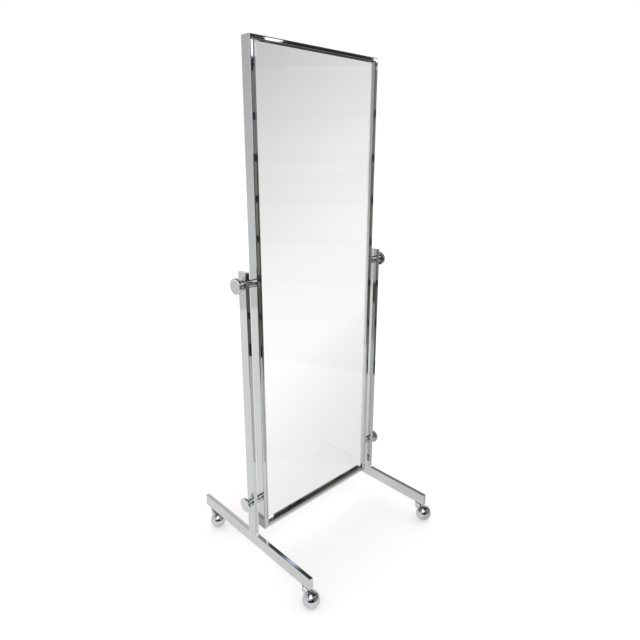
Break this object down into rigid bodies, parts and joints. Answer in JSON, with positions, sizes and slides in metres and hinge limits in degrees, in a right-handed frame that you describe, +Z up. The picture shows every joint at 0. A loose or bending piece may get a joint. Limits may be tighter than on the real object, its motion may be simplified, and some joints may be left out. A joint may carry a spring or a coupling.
{
  "type": "rolling floor mirror",
  "caption": "Full-length mirror in a deep chromed frame, pivoted between two T-shaped side stands with screw knobs, on ball casters.",
  "frame": {"origin": "on the floor, at the middle of the whole object's outline, under the mirror", "axes": "+Z up; the mirror faces -Y; +X is the viewer's right when looking into the mirror"},
  "size_m": [0.6008, 0.5485, 1.5],
  "materials": {
    "stand_chrome": "polished chrome plate on steel tube",
    "frame_chrome": "polished chrome plate on folded sheet steel",
    "bead_chrome": "polished chrome plate on a steel strip",
    "turned_chrome": "polished chrome plate on turned steel",
    "hood_chrome": "polished chrome plate on a die-cast hood",
    "ball_chrome": "polished chrome plate on the rolling half of the ball",
    "silvered_glass": "clear float glass, silvered on its back",
    "hardboard": "brown pressed hardboard, one face smooth",
    "plain_steel": "zinc-plated steel",
    "spring_steel": "oiled spring steel",
    "turned_brass": "turned brass",
    "sleeve_nylon": "black nylon sleeve",
    "washer_fibre": "dark friction washer",
    "block_rubber": "black rubber setting block"
  },
  "bodies": {
    "stand": {"left_leg": "stand_chrome", "right_leg": "stand_chrome", "leg_caps": "stand_chrome", "left_post": "stand_chrome", "right_post": "stand_chrome", "post_caps": "stand_chrome", "left_pivot_bush": "turned_brass", "right_pivot_bush": "turned_brass", "left_lock_sleeve": "turned_brass", "right_lock_sleeve": "turned_brass", "front_left_socket": "sleeve_nylon", "rear_left_socket": "sleeve_nylon", "front_right_socket": "sleeve_nylon", "rear_right_socket": "sleeve_nylon"},
    "mirror": {"frame_left": "frame_chrome", "frame_right": "frame_chrome", "frame_top": "frame_chrome", "frame_bottom": "frame_chrome", "corner_keys": "plain_steel", "bead_left": "bead_chrome", "bead_right": "bead_chrome", "bead_top": "bead_chrome", "bead_bottom": "bead_chrome", "mirror_glass": "silvered_glass", "backing_board": "hardboard", "setting_blocks": "block_rubber", "spring_clips": "spring_steel", "left_pivot_plate": "plain_steel", "right_pivot_plate": "plain_steel", "left_pivot_collar": "turned_chrome", "right_pivot_collar": "turned_chrome"},
    "left_pivot_clamp": {"left_pivot_washer": "washer_fibre"},
    "left_pivot_screw": {"left_pivot_knob": "turned_chrome", "left_pivot_stud": "plain_steel"},
    "right_pivot_clamp": {"right_pivot_washer": "washer_fibre"},
    "right_pivot_screw": {"right_pivot_knob": "turned_chrome", "right_pivot_stud": "plain_steel"},
    "left_lock_pad": {"left_lock_collar": "turned_chrome"},
    "left_lock_screw": {"left_lock_knob": "turned_chrome", "left_lock_stud": "plain_steel"},
    "right_lock_pad": {"right_lock_collar": "turned_chrome"},
    "right_lock_screw": {"right_lock_knob": "turned_chrome", "right_lock_stud": "plain_steel"},
    "front_left_swivel": {"front_left_hood": "hood_chrome", "front_left_stem": "plain_steel", "front_left_axle": "plain_steel"},
    "front_left_ball": {"front_left_wheel": "ball_chrome"},
    "rear_left_swivel": {"rear_left_hood": "hood_chrome", "rear_left_stem": "plain_steel", "rear_left_axle": "plain_steel"},
    "rear_left_ball": {"rear_left_wheel": "ball_chrome"},
    "front_right_swivel": {"front_right_hood": "hood_chrome", "front_right_stem": "plain_steel", "front_right_axle": "plain_steel"},
    "front_right_ball": {"front_right_wheel": "ball_chrome"},
    "rear_right_swivel": {"rear_right_hood": "hood_chrome", "rear_right_stem": "plain_steel", "rear_right_axle": "plain_steel"},
    "rear_right_ball": {"rear_right_wheel": "ball_chrome"}
  },
  "joints": [
    {"name": "mirror_tilt", "type": "hinge", "parent": "stand", "child": "mirror", "pos_m": [0, 0.01225, 0.888], "axis": [1, 0, 0], "range_deg": [-30, 30]},
    {"name": "left_pivot_back_off", "type": "slide", "parent": "mirror", "child": "left_pivot_clamp", "axis": [-1, 0, 0], "range_m": [0, 0.00125]},
    {"name": "left_pivot_turn", "type": "hinge", "parent": "left_pivot_clamp", "child": "left_pivot_screw", "pos_m": [-0.27, 0.01225, 0.888], "axis": [-1, 0, 0], "range_deg": [0, 360]},
    {"name": "right_pivot_back_off", "type": "slide", "parent": "mirror", "child": "right_pivot_clamp", "axis": [1, 0, 0], "range_m": [0, 0.00125]},
    {"name": "right_pivot_turn", "type": "hinge", "parent": "right_pivot_clamp", "child": "right_pivot_screw", "pos_m": [0.27, 0.01225, 0.888], "axis": [1, 0, 0], "range_deg": [0, 360]},
    {"name": "left_lock_back_off", "type": "slide", "parent": "stand", "child": "left_lock_pad", "axis": [-1, 0, 0], "range_m": [-0.00025, 0.001]},
    {"name": "left_lock_turn", "type": "hinge", "parent": "left_lock_pad", "child": "left_lock_screw", "pos_m": [-0.27, 0.01225, 0.207], "axis": [-1, 0, 0], "range_deg": [-72, 288]},
    {"name": "right_lock_back_off", "type": "slide", "parent": "stand", "child": "right_lock_pad", "axis": [1, 0, 0], "range_m": [-0.00025, 0.001]},
    {"name": "right_lock_turn", "type": "hinge", "parent": "right_lock_pad", "child": "right_lock_screw", "pos_m": [0.27, 0.01225, 0.207], "axis": [1, 0, 0], "range_deg": [-72, 288]},
    {"name": "front_left_swivel_turn", "type": "hinge", "parent": "stand", "child": "front_left_swivel", "pos_m": [-0.27, -0.22075, 0.057], "axis": [0, 0, 1], "continuous": true},
    {"name": "front_left_ball_roll", "type": "hinge", "parent": "front_left_swivel", "child": "front_left_ball", "pos_m": [-0.27, -0.24875, 0.0255], "axis": [0.766, 0, -0.6428], "continuous": true},
    {"name": "rear_left_swivel_turn", "type": "hinge", "parent": "stand", "child": "rear_left_swivel", "pos_m": [-0.27, 0.24525, 0.057], "axis": [0, 0, 1], "continuous": true},
    {"name": "rear_left_ball_roll", "type": "hinge", "parent": "rear_left_swivel", "child": "rear_left_ball", "pos_m": [-0.27, 0.21725, 0.0255], "axis": [0.766, 0, -0.6428], "continuous": true},
    {"name": "front_right_swivel_turn", "type": "hinge", "parent": "stand", "child": "front_right_swivel", "pos_m": [0.27, -0.22075, 0.057], "axis": [0, 0, 1], "continuous": true},
    {"name": "front_right_ball_roll", "type": "hinge", "parent": "front_right_swivel", "child": "front_right_ball", "pos_m": [0.27, -0.24875, 0.0255], "axis": [0.766, 0, -0.6428], "continuous": true},
    {"name": "rear_right_swivel_turn", "type": "hinge", "parent": "stand", "child": "rear_right_swivel", "pos_m": [0.27, 0.24525, 0.057], "axis": [0, 0, 1], "continuous": true},
    {"name": "rear_right_ball_roll", "type": "hinge", "parent": "rear_right_swivel", "child": "rear_right_ball", "pos_m": [0.27, 0.21725, 0.0255], "axis": [0.766, 0, -0.6428], "continuous": true}
  ],
  "couplings": [
    {"joint": "left_pivot_back_off", "follows": "left_pivot_turn", "m_per_rad": 0.00019894},
    {"joint": "right_pivot_back_off", "follows": "right_pivot_turn", "m_per_rad": 0.00019894},
    {"joint": "left_lock_back_off", "follows": "left_lock_turn", "m_per_rad": 0.00019894},
    {"joint": "right_lock_back_off", "follows": "right_lock_turn", "m_per_rad": 0.00019894}
  ]
}
